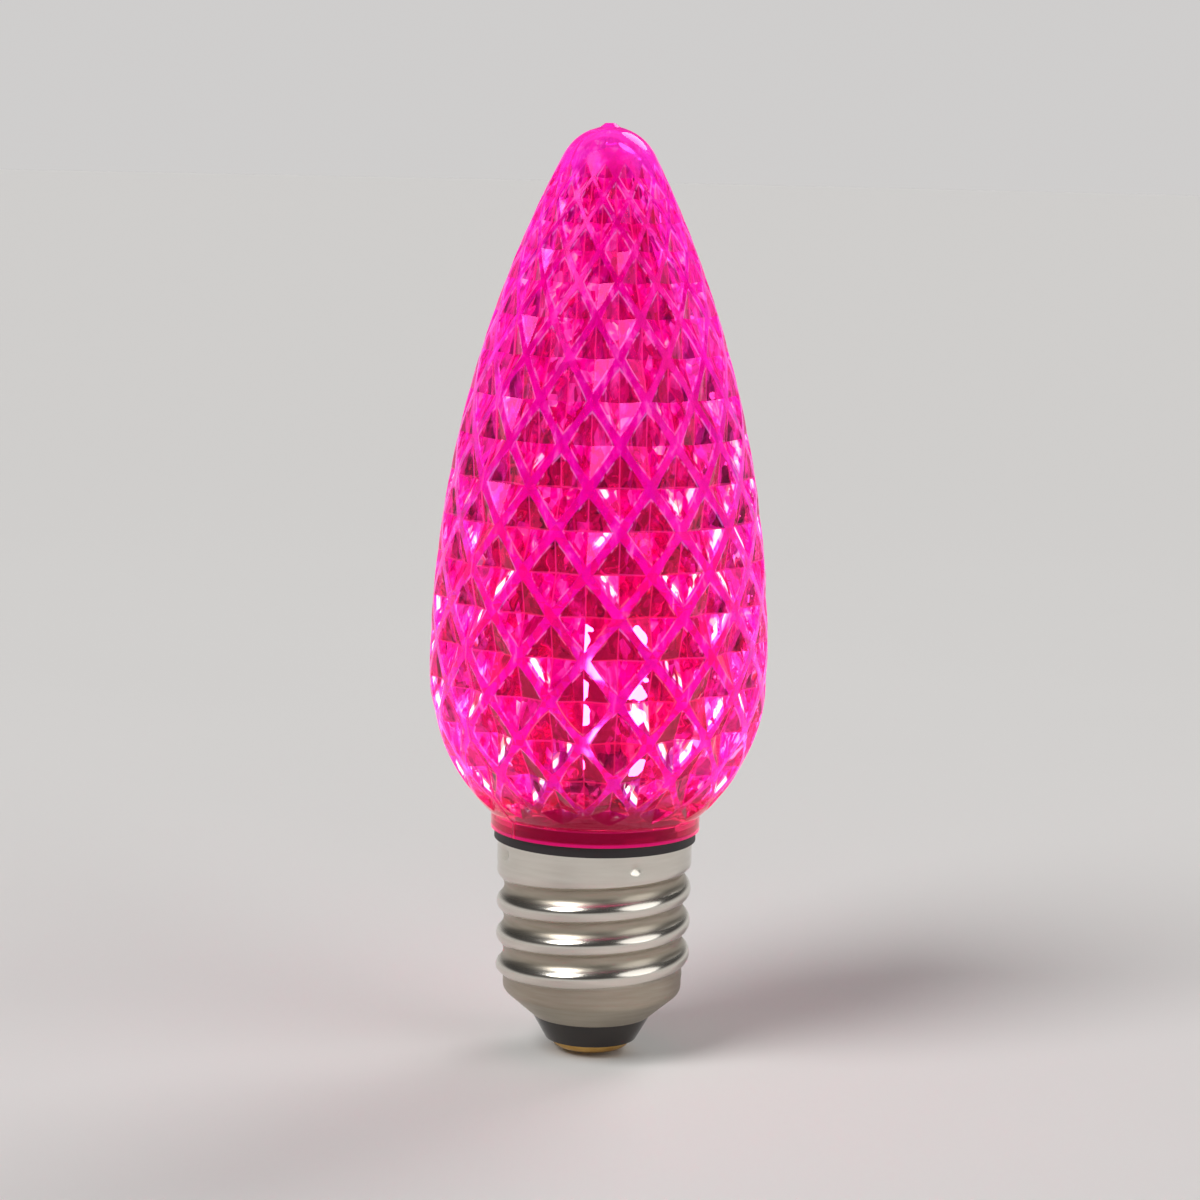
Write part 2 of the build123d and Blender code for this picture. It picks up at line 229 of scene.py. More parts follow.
eye = Vector((EYE_DISTANCE * math.sin(EYE_TURN), -EYE_DISTANCE * math.cos(EYE_TURN), EYE_HEIGHT))
look = (Vector((0, 0, LOOK_Z)) - eye).to_track_quat("-Z", "Y").to_matrix().to_4x4()
camera = bpy.data.objects.new("camera", bpy.data.cameras.new("camera"))
camera.data.sensor_width = SENSOR_W
camera.data.lens = FOCAL_LENGTH
camera.data.clip_start = 10 * MM
camera.matrix_world = Matrix.Translation(eye) @ look @ Matrix.Rotation(LEAN, 4, "Z")
bpy.context.scene.collection.objects.link(camera)
bpy.context.scene.camera = camera
bpy.context.scene.view_settings.view_transform = "Standard"
print("camera at", [round(v / MM, 1) for v in eye], "mm")

# %% [markdown]
# The lens is polycarbonate, dyed pink in the mass and moulded in one shot. The sunk diamonds come out
# polished, and the flat bands between them a little duller, so the bands look like soft pink ribbons.
# How far a point lies below the outline of the lens tells bands from facets, so the material works that
# outline out again from the same two arcs: the bowl below the widest place and the flank above it.

# %% Outline of the lens
LENS_R, WIDEST_Z, LENS_H, TIP_R = 14.3 * MM, 13.5 * MM, 59.2 * MM, 4.3 * MM
COLLAR_R, COLLAR_H = 8.9 * MM, 1.3 * MM
FACETS_ROUND, FIRST_ROW_Z, ROW_PITCH = 16, 6.2 * MM, 3.45 * MM
tip_rise = LENS_H - TIP_R - WIDEST_Z
flank = (LENS_R ** 2 + tip_rise ** 2 - TIP_R ** 2) / (2 * (LENS_R - TIP_R))
bowl_run = LENS_R - COLLAR_R
bowl = ((WIDEST_Z - COLLAR_H) ** 2 + bowl_run ** 2) / (2 * bowl_run)
print("arcs of the lens in mm: bowl", round(bowl / MM, 2), "flank", round(flank / MM, 2))

# %% [markdown]
# From here on the lens material is built up in steps. First come a point's height, its distance from the
# axis and its depth below the outline. A facet is flat, so one more number sorts the facets: how much
# its face tips up or down from the outline there. The two lower faces of each diamond tip up.

# %% Where a point of the lens lies
pink, tree, shader, place = new_finish("pink_polycarbonate_clear_painted_glow")
axes = add(tree, "SeparateXYZ", {}, {0: place})
height = axes.outputs["Z"]
flat = add(tree, "VectorMath", TIMES, {0: place, 1: (1, 1, 0)})
radius = add(tree, "VectorMath", LENGTH, {0: flat}).outputs["Value"]
up = add(tree, "Math", MINUS, {0: height, 1: WIDEST_Z})
below = add(tree, "Math", {"operation": "LESS_THAN"}, {0: up, 1: 0.0})
arc = add(tree, "Math", TIMES_PLUS, {0: below, 1: bowl - flank, 2: flank})
lean = add(tree, "Math", {"operation": "DIVIDE"}, {0: up, 1: arc})
lean_squared = add(tree, "Math", TIMES, {0: lean, 1: lean})
run_squared = add(tree, "Math", MINUS, {0: 1.0, 1: lean_squared})
run = add(tree, "Math", {"operation": "SQRT"}, {0: run_squared})
drawn_in = add(tree, "Math", MINUS, {0: 1.0, 1: run})
drop = add(tree, "Math", TIMES, {0: drawn_in, 1: arc})
outline = add(tree, "Math", MINUS, {0: LENS_R, 1: drop})
depth = add(tree, "Math", MINUS, {0: outline, 1: radius})
normal = add(tree, "NewGeometry").outputs["True Normal"]
face = add(tree, "SeparateXYZ", {}, {0: normal}).outputs["Z"]
tip_up = add(tree, "Math", MINUS, {0: face, 1: lean})
print("place on the lens:", len(tree.nodes), "nodes")

# %% [markdown]
# Those numbers become masks between 0 and 1: the bands, the lower faces of the diamonds, the outside as
# against the smooth inside, and the skin of the plain collar, which is neither band nor facet.

# %% Masks on the lens
COLLAR_FADES, BODY_STARTS = 2.4 * MM, 5.0 * MM
BAND_WHOLE, BAND_GONE = 0.01 * MM, 0.05 * MM
OUTSIDE_TO, INSIDE_FROM = 1.0 * MM, 1.2 * MM
SKIN_FROM, SKIN_TO = COLLAR_R - 0.15 * MM, COLLAR_R - 0.05 * MM
TIPPED = 0.04
clear_of_collar = add(tree, "MapRange", SMOOTH,
                      {"Value": height, "From Min": COLLAR_FADES, "From Max": BODY_STARTS})
on_outline = add(tree, "MapRange", SMOOTH,
                 {"Value": depth, "From Min": BAND_WHOLE, "From Max": BAND_GONE, **FALLING})
band = add(tree, "Math", TIMES, {0: on_outline, 1: clear_of_collar})
sunk = add(tree, "Math", MINUS, {0: 1.0, 1: band})
lower = add(tree, "MapRange", SMOOTH, {"Value": tip_up, "From Min": -TIPPED, "From Max": TIPPED})
outer = add(tree, "MapRange", {},
            {"Value": depth, "From Min": OUTSIDE_TO, "From Max": INSIDE_FROM, **FALLING})
inner = add(tree, "Math", MINUS, {0: 1.0, 1: outer})
collar_skin = add(tree, "MapRange", {}, {"Value": radius, "From Min": SKIN_FROM, "From Max": SKIN_TO})
print("masks on the lens:", len(tree.nodes), "nodes so far")

# %% [markdown]
# The dye lets red through, some blue and hardly any green. Each wall of the lens tints once, so what lies
# behind the whole bulb is tinted twice and comes out crimson. The upper faces of the diamonds get a darker
# tint than the lower ones, as painted shade. The bands are the most magenta.

# %% Dye, with painted shade on the upper faces
BAND_ROUGHNESS = 0.2
# The darker tint given to the upper faces is painted shade.
faces_tint_with_painted_shade = add(tree, "MixRGB", {}, {"Fac": lower, "Color1": "#CC2A70", "Color2": "#F0389C"})
body_tint_with_painted_shade = add(tree, "MixRGB", {}, {"Fac": band, "Color1": faces_tint_with_painted_shade, "Color2": "#E034B4"})
tint = add(tree, "MixRGB", {}, {"Fac": clear_of_collar, "Color1": "#E02C66", "Color2": body_tint_with_painted_shade})
dull = add(tree, "MapRange", {}, {"Value": band, "To Min": 0.0, "To Max": BAND_ROUGHNESS})
feed(shader, {"Base Color": tint, "Roughness": dull})
print("dye of the lens:", len(tree.nodes), "nodes so far")

# %% [markdown]
# The glow that the lamps inside give the plastic is painted into the emission of the lens. It stands for
# light that runs along the wall and comes out at the bands, and breaks up in the lower faces into streaks
# that run down from the middle of each diamond. A noise that is stretched along the axis, about a millimetre
# across, gives the streaks, and cells half as wide give sharp shards. No two faces catch the same light, so
# each also gets a number of its own, by chance, from the way it faces.

# %% Chance, shards and streaks
STREAK_W, SHARD_W, STRETCH = 1.1 * MM, 0.55 * MM, 0.42
FACING_STEP = 0.013
SHARD_SHARE, CHANCE_SHARE = 0.45, 0.25
USUAL_LEAST, USUAL_MOST = 0.4, 1.3
tall = add(tree, "Mapping", {}, {"Vector": place, "Scale": (1, 1, STRETCH)})
streak = add(tree, "TexNoise", {}, {"Vector": tall, "Scale": 1 / STREAK_W, "Detail": 3, "Distortion": 0.8})
cells = add(tree, "TexVoronoi", {}, {"Vector": tall, "Scale": 1 / SHARD_W}).outputs["Color"]
shard = add(tree, "SeparateColor", {}, {0: cells})
facing = add(tree, "VectorMath", {"operation": "SNAP"}, {0: normal, 1: [FACING_STEP] * 3})
chance = add(tree, "TexWhiteNoise", {"noise_dimensions": "3D"}, {"Vector": facing})
streaks_and_shards = add(tree, "Math", TIMES_PLUS, {0: shard, 1: SHARD_SHARE, 2: streak})
summed = add(tree, "Math", TIMES_PLUS, {0: chance, 1: CHANCE_SHARE, 2: streaks_and_shards})
broken = add(tree, "MapRange", {}, {"Value": summed, "From Min": USUAL_LEAST, "From Max": USUAL_MOST})
print("patterns on the lens:", len(tree.nodes), "nodes so far")

# %% [markdown]
# Each zone turns those patterns into its own colours of painted glow by a ramp: crimson to white in the lower
# faces, black to crimson in the upper ones, which reads as painted shade, and pink along the bands. The
# lowest bands are painted as lit straight from the lamps, so some red is added there. Towards the tip the
# painted light is more even, as if it had crossed the lens many times, so one ramp takes over from the
# others.

# %% Painted glow
RED_FROM, RED_TO, RED_SHARE = 6 * MM, 13 * MM, 0.4
EVEN_FROM, EVEN_TO, EVEN_SHARE = 26 * MM, 52 * MM, 0.7
# These ramps paint the glow of the lens; the dark stops of the upper ramp are painted shade.
lower_glow = add(tree, "ValToRGB", {}, {"Fac": broken}, [
    (0.15, "#38000A"), (0.38, "#B00060"), (0.62, "#EC00A8"), (0.82, "#FF58DC"), (0.92, "#FFF0F8")])
upper_glow = add(tree, "ValToRGB", {}, {"Fac": broken}, [
    (0.36, "#000000"), (0.56, "#440012"), (0.72, "#9C0054"), (0.90, "#F018A0")])
faces_glow = add(tree, "MixRGB", {}, {"Fac": lower, "Color1": upper_glow, "Color2": lower_glow})
streaky_band = add(tree, "ValToRGB", {}, {"Fac": streak}, [
    (0.34, "#D000A0"), (0.52, "#D400B4"), (0.62, "#E818CC"), (0.72, "#FF78E4")])
low_down = add(tree, "MapRange", SMOOTH, {"Value": height, "From Min": RED_FROM, "From Max": RED_TO,
                                          "To Min": RED_SHARE, "To Max": 0.0})
band_glow = add(tree, "MixRGB", {"blend_type": "ADD"},
                {"Fac": low_down, "Color1": streaky_band, "Color2": "#FF2060"})
low_glow = add(tree, "MixRGB", {}, {"Fac": band, "Color1": faces_glow, "Color2": band_glow})
high_glow = add(tree, "ValToRGB", {}, {"Fac": broken}, [
    (0.15, "#6C0038"), (0.45, "#BC0084"), (0.65, "#DC00A4"), (0.9, "#FF60D8")])
high = add(tree, "MapRange", SMOOTH, {"Value": height, "From Min": EVEN_FROM, "From Max": EVEN_TO,
                                      "To Min": 0.0, "To Max": EVEN_SHARE})
glow = add(tree, "MixRGB", {}, {"Fac": high, "Color1": low_glow, "Color2": high_glow})
print("glow of the lens:", len(tree.nodes), "nodes so far")

# %% [markdown]
# Low on the lens, near the lamps, some edges get a painted white glint where a lower face meets its band.
# The glint is a narrow strip along that edge, with an orange and a violet fringe, as a prism gives. It comes
# only on faces that chance picks, and in patches.

# %% Painted glints
FLASH_STRENGTH, LUCKY_FROM = 2.5, 0.7
STRIP_FROM, STRIP_TO = 0.05 * MM, 0.5 * MM
LAMPS_NEAR, LAMPS_FAR = 18 * MM, 40 * MM
PATCH_FROM, PATCH_TO = 0.46, 0.56
off_band = add(tree, "MapRange", {}, {"Value": depth, "From Min": STRIP_FROM, "From Max": STRIP_TO})
fringed = add(tree, "ValToRGB", {}, {"Fac": off_band}, [
    (0.0, "#000000"), (0.18, "#7010A0"), (0.30, "#FFFFFF"), (0.62, "#FFFFFF"), (0.74, "#FF7020"),
    (0.95, "#000000")])
strip = add(tree, "VectorMath", {"operation": "SCALE"}, {0: fringed, "Scale": FLASH_STRENGTH})
near_lamps = add(tree, "MapRange", SMOOTH,
                 {"Value": height, "From Min": LAMPS_NEAR, "From Max": LAMPS_FAR, **FALLING})
patch = add(tree, "MapRange", SMOOTH, {"Value": streak, "From Min": PATCH_FROM, "From Max": PATCH_TO})
flash = add(tree, "Math", {"operation": "GREATER_THAN"}, {0: chance, 1: LUCKY_FROM})
for mask in (near_lamps, lower, patch):
    flash = add(tree, "Math", TIMES, {0: flash, 1: mask})
# The strip is a painted glint, added to the painted glow.
flashing = add(tree, "MixRGB", {"blend_type": "ADD"}, {"Fac": flash, "Color1": glow, "Color2": strip})
print("flashes on the lens:", len(tree.nodes), "nodes so far")

# %% [markdown]
# Each diamond is a sunk pyramid with four creases, and each crease gets a fine painted pink line of light.
# Two stand upright, every half facet round the axis, because the rows alternate. Two lie level, through the
# middle of each row, as far up as the rows are a fixed height apart. So the distance to the nearest such
# angle or height, in metres, draws the painted lines.

# %% Painted lines along the creases of the diamonds
CREASE_LINE_SHARE = 0.7
UPRIGHT_WHOLE, UPRIGHT_GONE = 0.03 * MM, 0.1 * MM
LEVEL_WHOLE, LEVEL_GONE = 0.04 * MM, 0.12 * MM
EVEN_ROWS_TO, EVEN_ROWS_END = 30 * MM, 33 * MM
half_facet = math.pi / FACETS_ROUND
angle = add(tree, "Math", {"operation": "ARCTAN2"}, {0: axes.outputs["Y"], 1: axes.outputs["X"]})
angle_gap = add(tree, "Math", {"operation": "PINGPONG"}, {0: angle, 1: half_facet / 2})
side_gap = add(tree, "Math", TIMES, {0: angle_gap, 1: radius})
upright = add(tree, "MapRange", SMOOTH,
              {"Value": side_gap, "From Min": UPRIGHT_WHOLE, "From Max": UPRIGHT_GONE, **FALLING})
climb = add(tree, "Math", MINUS, {0: height, 1: FIRST_ROW_Z})
row_gap = add(tree, "Math", {"operation": "PINGPONG"}, {0: climb, 1: ROW_PITCH / 2})
level_line = add(tree, "MapRange", SMOOTH,
                 {"Value": row_gap, "From Min": LEVEL_WHOLE, "From Max": LEVEL_GONE, **FALLING})
even_rows = add(tree, "MapRange", SMOOTH,
                {"Value": height, "From Min": EVEN_ROWS_TO, "From Max": EVEN_ROWS_END, **FALLING})
level_below = add(tree, "Math", TIMES, {0: level_line, 1: even_rows})
painted_crease_line = add(tree, "Math", {"operation": "MAXIMUM"}, {0: upright, 1: level_below})
for mask in (sunk, CREASE_LINE_SHARE):
    painted_crease_line = add(tree, "Math", TIMES, {0: painted_crease_line, 1: mask})
# The crease lines are painted highlights, mixed into the painted glow.
glow_with_crease_lines = add(tree, "MixRGB", {}, {"Fac": painted_crease_line, "Color1": flashing, "Color2": "#FF2C94"})
print("creases on the lens:", len(tree.nodes), "nodes so far")

# %% [markdown]
# The polished mould left a sharp edge along each band, and a broken bright line is painted along it as a
# highlight. And the painted glow of a third of the faces is made redder near the lamps. None of this glow
# belongs on the inside of the lens.

# %% Painted edge highlights and redder glow
EDGE_REACH = 0.2 * MM
REDDER_TO, REDDER_END, REDDER_SHARE = 0.2, 0.45, 0.8
over_edge = add(tree, "MapRange", {}, {"Value": depth, "From Min": 0.0, "From Max": EDGE_REACH})
painted_edge_highlight = add(tree, "ValToRGB", {}, {"Fac": over_edge}, [
    (0.08, "#000000"), (0.20, "#E0E0E0"), (0.34, "#E0E0E0"), (0.5, "#000000")])
edge_highlight_share = add(tree, "Math", TIMES, {0: painted_edge_highlight, 1: patch})
glow_with_edge_highlight = add(tree, "MixRGB", {}, {"Fac": edge_highlight_share, "Color1": glow_with_crease_lines, "Color2": "#FF80EC"})
redder_pick = add(tree, "MapRange", SMOOTH, {"Value": chance, "From Min": REDDER_TO, "From Max": REDDER_END,
                                           "To Min": REDDER_SHARE, "To Max": 0.0})
redder_glow_share = add(tree, "Math", TIMES, {0: redder_pick, 1: near_lamps})
glow_made_redder = add(tree, "MixRGB", {"blend_type": "MULTIPLY"},
               {"Fac": redder_glow_share, "Color1": glow_with_edge_highlight, "Color2": "#FFC088"})
body_glow = add(tree, "MixRGB", {}, {"Fac": outer, "Color1": "#000000", "Color2": glow_made_redder})
print("edges and red faces:", len(tree.nodes), "nodes so far")

# %% [markdown]
# The collar is plain and is painted as getting little light: a deep crimson glow with a painted bright line
# along its lower edge. The smooth tip is painted as gathering the light of the whole lens, the palest place.

# %% Painted glow of the collar and the tip
COLLAR_RAMP_H = 2.0 * MM
TIP_FROM, TIP_TO, TIP_SHARE = 54.5 * MM, 58 * MM, 0.65
GLOW_STRENGTH = 0.6
up_collar = add(tree, "MapRange", {}, {"Value": height, "From Min": 0.0, "From Max": COLLAR_RAMP_H})
collar_glow = add(tree, "ValToRGB", {}, {"Fac": up_collar}, [
    (0.0, "#F01878"), (0.10, "#F01878"), (0.16, "#8C0024"), (0.60, "#80001E"), (0.66, "#C80C58"),
    (0.74, "#98002E")])
collar_lit = add(tree, "MixRGB", {}, {"Fac": collar_skin, "Color1": "#000000", "Color2": collar_glow})
tip_share = add(tree, "MapRange", SMOOTH, {"Value": height, "From Min": TIP_FROM, "From Max": TIP_TO,
                                           "To Min": 0.0, "To Max": TIP_SHARE})
with_tip = add(tree, "MixRGB", {}, {"Fac": tip_share, "Color1": body_glow, "Color2": "#D030B0"})
shown = add(tree, "MixRGB", {}, {"Fac": clear_of_collar, "Color1": collar_lit, "Color2": with_tip})
# All this painted glow goes into the emission of the lens.
feed(shader, {"Emission Color": shown, "Emission Strength": GLOW_STRENGTH})
print("collar and tip:", len(tree.nodes), "nodes so far")

# %% [markdown]
# What is left is the plastic itself: clear, with the refraction of polycarbonate. The inside of the lens was
# shaped by a core that left it a little uneven, and that breaks up the pictures of the lamps. The painted
# glow of the lens is too faint to light anything, so the renderer needn't aim rays at it, which saves time.

# %% Clear plastic
POLYCARBONATE_IOR = 1.585
RIPPLE_SIZE, RIPPLE_DEPTH = 1.8 * MM, 0.2 * MM
ripple = add(tree, "TexNoise", {}, {"Vector": place, "Scale": 1 / RIPPLE_SIZE, "Detail": 1})
uneven = add(tree, "Bump", {}, {"Height": ripple, "Strength": inner, "Distance": RIPPLE_DEPTH})
feed(shader, {"Specular Tint": "#FF54B4", "Transmission Weight": 1.0, "IOR": POLYCARBONATE_IOR,
              "Normal": uneven})
pink.cycles.emission_sampling = "NONE"
dress(pink, "lens")

# %% [markdown]
# The mould opened in two halves, and where they met they left a fine raised line, up one side of the lens and
# down the other. It follows every facet that it crosses. So it is cut from a copy of the lens itself: two
# cuts close to the plane of the joint leave a narrow slice, and only the slice's outer skin is kept.

# %% Parting line of the mould
MERGE = 0.001 * MM
CUT_REACH = 0.0001 * MM
PARTING_TURN, PARTING_W = math.radians(45), 0.2 * MM
PARTING_FOOT, PARTING_TOP = 0.01 * MM, 58.0 * MM
SKIN_AT_FACETS, SKIN_AT_COLLAR = 1.2 * MM, 0.1 * MM
across = Vector((-math.sin(PARTING_TURN), math.cos(PARTING_TURN), 0))


def outline_radius(z):
    """Radius of the lens at a height, before the facets were sunk."""
    if z < COLLAR_H:
        return COLLAR_R
    turned = bowl if z < WIDEST_Z else flank
    return LENS_R - turned + math.sqrt(turned ** 2 - (z - WIDEST_Z) ** 2)


def on_skin(middle):
    """Whether the middle of a face lies on the outer skin of the lens, from the collar up to the tip."""
    skin = SKIN_AT_FACETS if middle.z > COLLAR_H else SKIN_AT_COLLAR
    return PARTING_FOOT < middle.z < PARTING_TOP and outline_radius(middle.z) - middle.xy.length <= skin


bm = bmesh.new()
bm.from_mesh(nodes["lens"].data)
bmesh.ops.remove_doubles(bm, verts=bm.verts, dist=MERGE)
for side in (across, -across):
    bmesh.ops.bisect_plane(bm, geom=bm.verts[:] + bm.edges[:] + bm.faces[:], dist=CUT_REACH,
                           plane_co=side * PARTING_W / 2, plane_no=side, clear_outer=True)
unseen = [f for f in bm.faces if not on_skin(f.calc_center_median())]
bmesh.ops.delete(bm, geom=unseen, context="FACES")
bm.normal_update()
print("parting line:", len(bm.faces), "faces along the lens")

# %% [markdown]
# The strip is bedded a little into the lens, so that no gap shows under it, and then given its height. An
# object is made of it by a function that the other new pieces use as well.

# %% Height of the parting line
PARTING_BED, PARTING_H = 0.02 * MM, 0.06 * MM
SHARP_EDGE = math.radians(35)


def new_piece(name, bm):
    """Makes an object of a bmesh, smooth but for its sharp edges, riding on the bulb.

    A copy of a CAD mesh brings normals that no longer fit it, so they are taken off.
    """
    mesh = bpy.data.meshes.new(name)
    bm.to_mesh(mesh)
    bm.free()
    if "custom_normal" in mesh.attributes:
        mesh.attributes.remove(mesh.attributes["custom_normal"])
    mesh.polygons.foreach_set("use_smooth", [True] * len(mesh.polygons))
    mesh.set_sharp_from_angle(angle=SHARP_EDGE)
    piece = bpy.data.objects.new(name, mesh)
    bpy.context.scene.collection.objects.link(piece)
    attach(piece, "root")
    return piece


for v in bm.verts:
    v.co -= v.normal * PARTING_BED
bm.normal_update()
bmesh.ops.solidify(bm, geom=bm.faces[:], thickness=-PARTING_H)
bmesh.ops.recalc_face_normals(bm, faces=bm.faces)
reach = [v.co.xy.length - outline_radius(v.co.z) for v in bm.verts]
print("it stands", round(max(reach) / MM, 3), "mm off the outline")
parting_line = new_piece("lens_parting_line", bm)

# %% [markdown]
# The line is the same plastic, but the joint of the mould left it dull, so it catches light along its length.
# It also gets a painted glow, which fades towards the collar, as that of the lens does.

# %% Finish of the parting line
DULL_PATCH = 0.8 * MM
DIM_TO, LIT_FROM = 1.0 * MM, 6.0 * MM
DIM_GLOW, LIT_GLOW = 0.1, 0.55
flash_pink, tree, shader, place = new_finish("pink_mould_flash_line_painted_glow")
grain = add(tree, "TexNoise", {}, {"Vector": place, "Scale": 1 / DULL_PATCH, "Detail": 3})
height = add(tree, "SeparateXYZ", {}, {0: place}).outputs["Z"]
fade = add(tree, "MapRange", SMOOTH, {"Value": height, "From Min": DIM_TO, "From Max": LIT_FROM,
                                      "To Min": DIM_GLOW, "To Max": LIT_GLOW})
# The emission colour is a painted glow of the lens light.
painted_line_glow = add(tree, "MixRGB", {}, {"Fac": grain, "Color1": "#680048", "Color2": "#D430A4"})
tint = add(tree, "MixRGB", {}, {"Fac": grain, "Color1": "#E02890", "Color2": "#F83CB0"})
dull = add(tree, "MapRange", {}, {"Value": grain, "To Min": 0.25, "To Max": 0.5})
feed(shader, {"Base Color": tint, "Roughness": dull, "Emission Color": painted_line_glow, "Emission Strength": fade,
              "Transmission Weight": 1.0, "IOR": POLYCARBONATE_IOR})
flash_pink.cycles.emission_sampling = "NONE"
parting_line.data.materials.append(flash_pink)
print(flash_pink.name, "on", parting_line.name)

# %% [markdown]
# The screw shell is thin brass, rolled so that the wall itself makes the thread, then plated with nickel.
# The section of the thread is two equal arcs, one over the crest and one through the root. Two spins of a
# single vertex draw that section, and a third spin sweeps it up a helix, nine turns to the inch. Each turn
# ends where the next one starts, and there the two are welded.

# %% Thread of the screw shell
SHELL_R, THREAD_DEPTH = 8.3 * MM, 0.65 * MM
PITCH = 25.4 / 9 * MM
ROOT_Z = -13.1 * MM
STEPS_ROUND, ARC_STEPS = 144, 7
HELIX_TURNS, TURNS_BELOW = 6, 1.2
WELD = 0.005 * MM
root_r = SHELL_R - THREAD_DEPTH
arc_turn = 2 * math.atan(2 * THREAD_DEPTH / PITCH)
arc_r = PITCH / (4 * math.sin(arc_turn))
crest_x, crest_z = SHELL_R - arc_r, ROOT_Z - TURNS_BELOW * PITCH

bm = bmesh.new()
first = bm.verts.new((crest_x + arc_r * math.cos(arc_turn), 0, crest_z - arc_r * math.sin(arc_turn)))
crest = bmesh.ops.spin(bm, geom=[first], cent=(crest_x, 0, crest_z), axis=(0, -1, 0),
                       angle=2 * arc_turn, steps=ARC_STEPS)
turn_over = [v for v in crest["geom_last"] if isinstance(v, bmesh.types.BMVert)]
bmesh.ops.spin(bm, geom=turn_over, cent=(root_r + arc_r, 0, crest_z + PITCH / 2), axis=(0, 1, 0),
               angle=2 * arc_turn, steps=ARC_STEPS)
section = [[round(v.co.x / MM, 3), round(v.co.z / MM, 3)] for v in bm.verts]
print("section of the thread:", len(section), "points, from", section[0], "to", section[-1])

bmesh.ops.spin(bm, geom=bm.verts[:] + bm.edges[:], cent=(0, 0, 0), axis=(0, 0, 1),
               dvec=(0, 0, PITCH / STEPS_ROUND), angle=2 * math.pi * HELIX_TURNS,
               steps=STEPS_ROUND * HELIX_TURNS)
bmesh.ops.remove_doubles(bm, verts=bm.verts, dist=WELD)
print("helix:", len(bm.verts), "vertices")

# %% [markdown]
# The helix is cut level at both ends. The thread runs out there: upwards into the plain band that grips
# the plug, and downwards into the root.

# %% Run-out of the thread
BAND_Z, RUN_OUT = -2.9 * MM, 0.9 * MM
for cut_z, side in ((BAND_Z, 1), (ROOT_Z, -1)):
    bmesh.ops.bisect_plane(bm, geom=bm.verts[:] + bm.edges[:] + bm.faces[:], dist=CUT_REACH,
                           plane_co=(0, 0, cut_z), plane_no=(0, 0, side), clear_outer=True)


def eased(value, start, end):
    """0 at start, 1 at end, and smooth between them."""
    share = min(max((value - start) / (end - start), 0), 1)
    return share * share * (3 - 2 * share)


for v in bm.verts:
    r = v.co.xy.length
    new_r = r + (SHELL_R - r) * eased(v.co.z, BAND_Z - RUN_OUT, BAND_Z)
    new_r += (root_r - new_r) * eased(v.co.z, ROOT_Z + RUN_OUT, ROOT_Z)
    v.co.x *= new_r / r
    v.co.y *= new_r / r
print("thread from", round(ROOT_Z / MM, 2), "to", round(BAND_Z / MM, 2), "mm")

# %% [markdown]
# Then the open edges are drawn on, ring by ring: up to the mouth, down to the fold and, round that, in along
# the cone to the lip. The band gets several rings, because the punch needs vertices to push.

# %% Mouth, fold and cone
MOUTH_Z, FOLD_Z, LIP_Z, LIP_R = -0.9 * MM, -14.1 * MM, -16.3 * MM, 5.1 * MM
BAND_RINGS, FOLD_STEPS, FOLD_R = 8, 6, 1.0 * MM


def draw_on(from_z, to_z, radius):
    """Extrudes the open edge at one height to a ring of another height and radius."""
    edges = [e for e in bm.edges if e.is_boundary and all(abs(v.co.z - from_z) < MERGE for v in e.verts)]
    for v in bmesh.ops.extrude_edge_only(bm, edges=edges)["geom"]:
        if isinstance(v, bmesh.types.BMVert):
            grown = radius / v.co.xy.length
            v.co = (v.co.x * grown, v.co.y * grown, to_z)
    return to_z


level = BAND_Z
for k in range(1, BAND_RINGS + 1):
    level = draw_on(level, BAND_Z + (MOUTH_Z - BAND_Z) * k / BAND_RINGS, SHELL_R)
fold_turn = math.atan2(root_r - LIP_R, FOLD_Z - LIP_Z)
fold_top = FOLD_Z + FOLD_R * math.tan(fold_turn / 2)
level = ROOT_Z
for k in range(FOLD_STEPS + 1):
    turned = fold_turn * k / FOLD_STEPS
    level = draw_on(level, fold_top - FOLD_R * math.sin(turned), root_r - FOLD_R + FOLD_R * math.cos(turned))
level = draw_on(level, LIP_Z, LIP_R)
print("shell drawn on to", round(level / MM, 2), "mm, folded by", round(math.degrees(fold_turn)), "degrees")

# %% [markdown]
# The shell is staked to the plug: a punch drives four round dents through its plain band into the plastic.
# The rings of the band are close enough to take them, so each vertex near a dent's middle is pushed inwards.

# %% Dents of the punch
DENTS, DENT_TURN, DENT_R, DENT_DEPTH = 4, math.radians(30), 0.85 * MM, 0.25 * MM
dent_z = (MOUTH_Z + BAND_Z) / 2
dent_step = 2 * math.pi / DENTS
pushed = 0
for v in bm.verts:
    turn = math.atan2(v.co.y, v.co.x) - DENT_TURN
    aside = (turn + dent_step / 2) % dent_step - dent_step / 2
    sink = DENT_DEPTH * eased(math.hypot(aside * SHELL_R, v.co.z - dent_z), DENT_R, 0)
    if sink > 0:
        v.co.x *= 1 - sink / SHELL_R
        v.co.y *= 1 - sink / SHELL_R
        pushed += 1
print("dents:", pushed, "vertices pushed in")

# %% [markdown]
# Last the shell gets its wall. The faces have to point outwards first, because the wall grows inwards from
# them.

# %% Wall of the shell
SHELL_WALL = 0.3 * MM
bmesh.ops.recalc_face_normals(bm, faces=bm.faces)
outward = sum(f.normal.xy.dot(f.calc_center_median().xy) for f in bm.faces)
if outward < 0:
    bmesh.ops.reverse_faces(bm, faces=bm.faces)
bmesh.ops.solidify(bm, geom=bm.faces[:], thickness=SHELL_WALL)
reach = [v.co.xy.length / MM for v in bm.verts]
print("shell radii in mm:", round(min(reach), 3), "to", round(max(reach), 3), "faces:", len(bm.faces))
threaded_shell = new_piece("threaded_shell", bm)
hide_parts("screw_shell")

# %% [markdown]
# Nickel plate is a warm white metal. Rolling leaves faint lines round it, and the valleys of the thread,
# which nothing rubs, go dull and yellowish while the crests stay bright. So the distance from the axis
# drives both the tone and the roughness. The lines are a third of a millimetre high.

